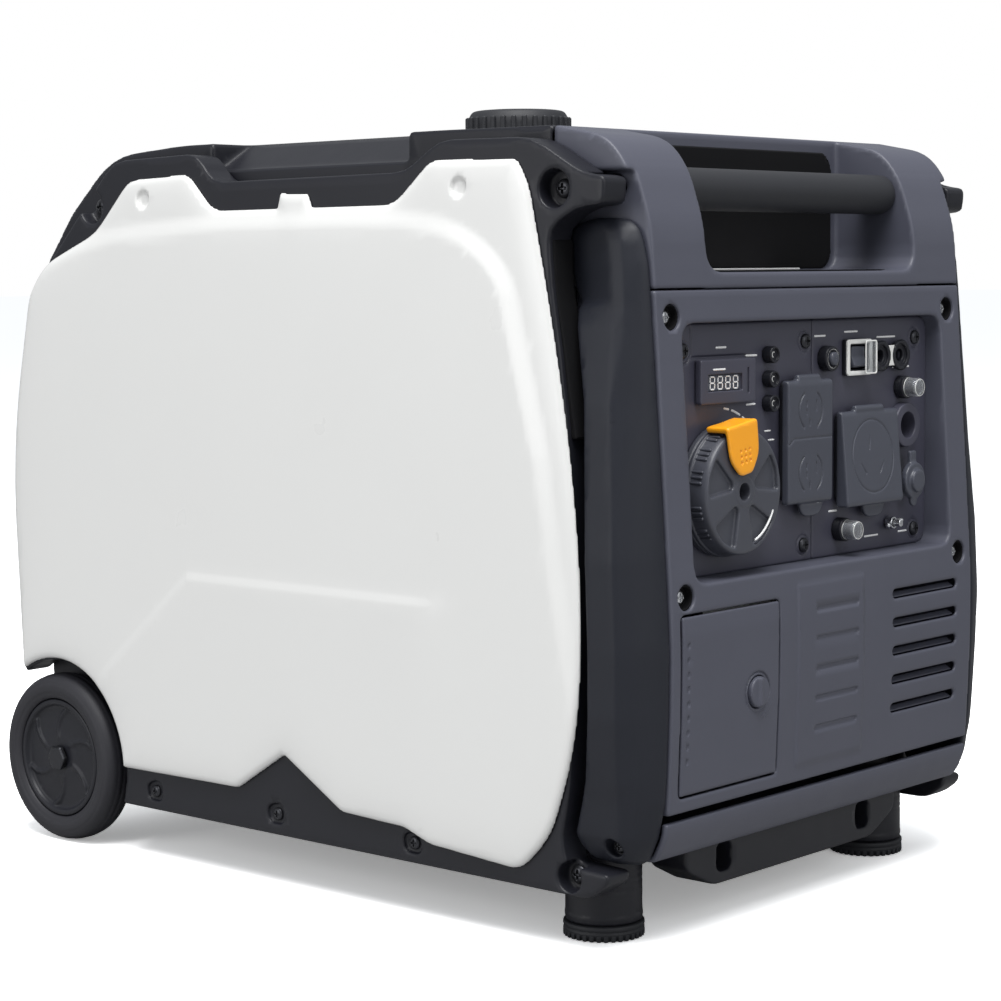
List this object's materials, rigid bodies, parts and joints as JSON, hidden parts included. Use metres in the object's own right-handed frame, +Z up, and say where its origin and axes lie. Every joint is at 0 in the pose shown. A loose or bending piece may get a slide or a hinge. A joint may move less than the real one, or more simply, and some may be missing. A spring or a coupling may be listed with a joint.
{
  "type": "portable generator",
  "caption": "Wheeled inverter generator in a closed casing: pale side panels, a hand grip over a recessed control panel, rubber feet in front and wheels behind.",
  "frame": {"origin": "centre of the footprint on the ground (bounding box bottom centre)", "axes": "+Z up, -Y out of the control panel, +Y towards the wheels, +X to the right of someone facing the control panel"},
  "size_m": [0.4196, 0.6154, 0.534],
  "materials": {
    "shell_charcoal": "fine moulded grain",
    "frame_black": "fine moulded grain",
    "panel_white": "smooth gloss",
    "rubber_black": "matt",
    "tyre_rubber": "matt",
    "plate_grey": "fine moulded grain",
    "knob_grey": "satin",
    "lever_orange": "smooth gloss",
    "clear_cover": "clear soft plastic",
    "switch_white": "smooth",
    "steel_bright": "bright",
    "cast_alloy": "as cast",
    "winding_copper": "varnished wire",
    "tank_black": "satin"
  },
  "bodies": {
    "root": {"front_fascia": "shell_charcoal", "front_sill": "shell_charcoal", "handle_housing": "shell_charcoal", "corner_guard_left": "shell_charcoal", "corner_guard_right": "shell_charcoal", "side_frame_left": "frame_black", "side_frame_right": "frame_black", "base_pan": "frame_black", "top_cover": "frame_black", "rear_shell": "frame_black", "foot_left": "frame_black", "foot_right": "frame_black", "duplex_outlet": "frame_black", "twistlock_outlet": "frame_black", "ac_breaker": "frame_black", "dc_breaker": "frame_black", "reset_switch": "frame_black", "parallel_outlets": "frame_black", "display_meter": "frame_black", "indicator_lamps": "frame_black", "side_panel_left": "panel_white", "side_panel_right": "panel_white", "foot_pad_left": "rubber_black", "foot_pad_right": "rubber_black", "grip_sleeve": "rubber_black", "control_panel_left": "plate_grey", "control_panel_right": "plate_grey", "dc_outlet": "plate_grey", "ac_breaker_boot": "clear_cover", "dc_breaker_boot": "clear_cover", "throttle_frame": "switch_white", "handle_tube": "steel_bright", "axle": "steel_bright", "ground_stud": "steel_bright", "muffler": "steel_bright", "engine": "cast_alloy", "inverter_module": "cast_alloy", "alternator_stator": "winding_copper", "fuel_tank": "tank_black", "battery": "tank_black", "air_filter": "tank_black"},
    "wheel_left": {"rim_left": "frame_black", "tyre_left": "tyre_rubber"},
    "wheel_right": {"rim_right": "frame_black", "tyre_right": "tyre_rubber"},
    "run_dial": {"run_dial": "knob_grey", "dial_pointer": "lever_orange"},
    "duplex_cover": {"duplex_cover": "plate_grey"},
    "twistlock_cover": {"twistlock_cover": "plate_grey"},
    "dc_cap": {"dc_cap": "rubber_black"},
    "ac_breaker_button": {"ac_breaker_button": "switch_white"},
    "dc_breaker_button": {"dc_breaker_button": "switch_white"},
    "reset_button": {"reset_button": "switch_white"},
    "throttle_rocker": {"throttle_rocker": "switch_white"},
    "ground_nut": {"ground_nut": "steel_bright"},
    "maintenance_door": {"maintenance_door": "shell_charcoal"},
    "door_latch": {"door_latch": "shell_charcoal"},
    "fuel_cap": {"fuel_cap": "rubber_black"},
    "tow_handle": {"tow_handle": "frame_black"},
    "alternator_rotor": {"alternator_rotor": "steel_bright"}
  },
  "joints": [
    {"name": "wheel_left_spin", "type": "hinge", "parent": "root", "child": "wheel_left", "pos_m": [-0.1955, 0.24525, 0.0625], "axis": [1, 0, 0], "continuous": true},
    {"name": "wheel_right_spin", "type": "hinge", "parent": "root", "child": "wheel_right", "pos_m": [0.1955, 0.24525, 0.0625], "axis": [1, 0, 0], "continuous": true},
    {"name": "run_dial_turn", "type": "hinge", "parent": "root", "child": "run_dial", "pos_m": [-0.096, -0.28175, 0.2815], "axis": [0, 1, 0], "range_deg": [0, 130]},
    {"name": "duplex_cover_flip", "type": "hinge", "parent": "root", "child": "duplex_cover", "pos_m": [-0.008, -0.28835, 0.349], "axis": [-1, 0, 0], "range_deg": [0, 110]},
    {"name": "twistlock_cover_flip", "type": "hinge", "parent": "root", "child": "twistlock_cover", "pos_m": [0.063, -0.28835, 0.326], "axis": [-1, 0, 0], "range_deg": [0, 110]},
    {"name": "dc_cap_flip", "type": "hinge", "parent": "root", "child": "dc_cap", "pos_m": [0.114, -0.29125, 0.2945], "axis": [-1, 0, 0], "range_deg": [0, 120]},
    {"name": "ac_breaker_push", "type": "slide", "parent": "root", "child": "ac_breaker_button", "axis": [0, 1, 0], "range_m": [0, 0.003], "stiffness_N_per_m": 400},
    {"name": "dc_breaker_push", "type": "slide", "parent": "root", "child": "dc_breaker_button", "axis": [0, 1, 0], "range_m": [0, 0.003], "stiffness_N_per_m": 400},
    {"name": "reset_push", "type": "slide", "parent": "root", "child": "reset_button", "axis": [0, 1, 0], "range_m": [0, 0.0025], "stiffness_N_per_m": 400},
    {"name": "throttle_rock", "type": "hinge", "parent": "root", "child": "throttle_rocker", "pos_m": [0.0565, -0.28175, 0.3603], "axis": [1, 0, 0], "range_deg": [0, 20]},
    {"name": "ground_nut_turn", "type": "hinge", "parent": "root", "child": "ground_nut", "pos_m": [0.098, -0.28175, 0.2455], "axis": [0, -1, 0], "continuous": true},
    {"name": "maintenance_door_swing", "type": "hinge", "parent": "root", "child": "maintenance_door", "pos_m": [-0.162, -0.30505, 0.154], "axis": [0, 0, -1], "range_deg": [0, 100]},
    {"name": "door_latch_turn", "type": "hinge", "parent": "maintenance_door", "child": "door_latch", "pos_m": [-0.084, -0.30475, 0.154], "axis": [0, 1, 0], "range_deg": [0, 90]},
    {"name": "fuel_cap_lift", "type": "slide", "parent": "root", "child": "fuel_cap", "axis": [0, 0, 1], "range_m": [0, 0.08]},
    {"name": "tow_handle_slide", "type": "slide", "parent": "root", "child": "tow_handle", "axis": [0, -1, 0], "range_m": [0, 0.26]},
    {"name": "alternator_rotor_spin", "type": "hinge", "parent": "root", "child": "alternator_rotor", "pos_m": [0, -0.07475, 0.172], "axis": [0, 1, 0], "continuous": true}
  ]
}
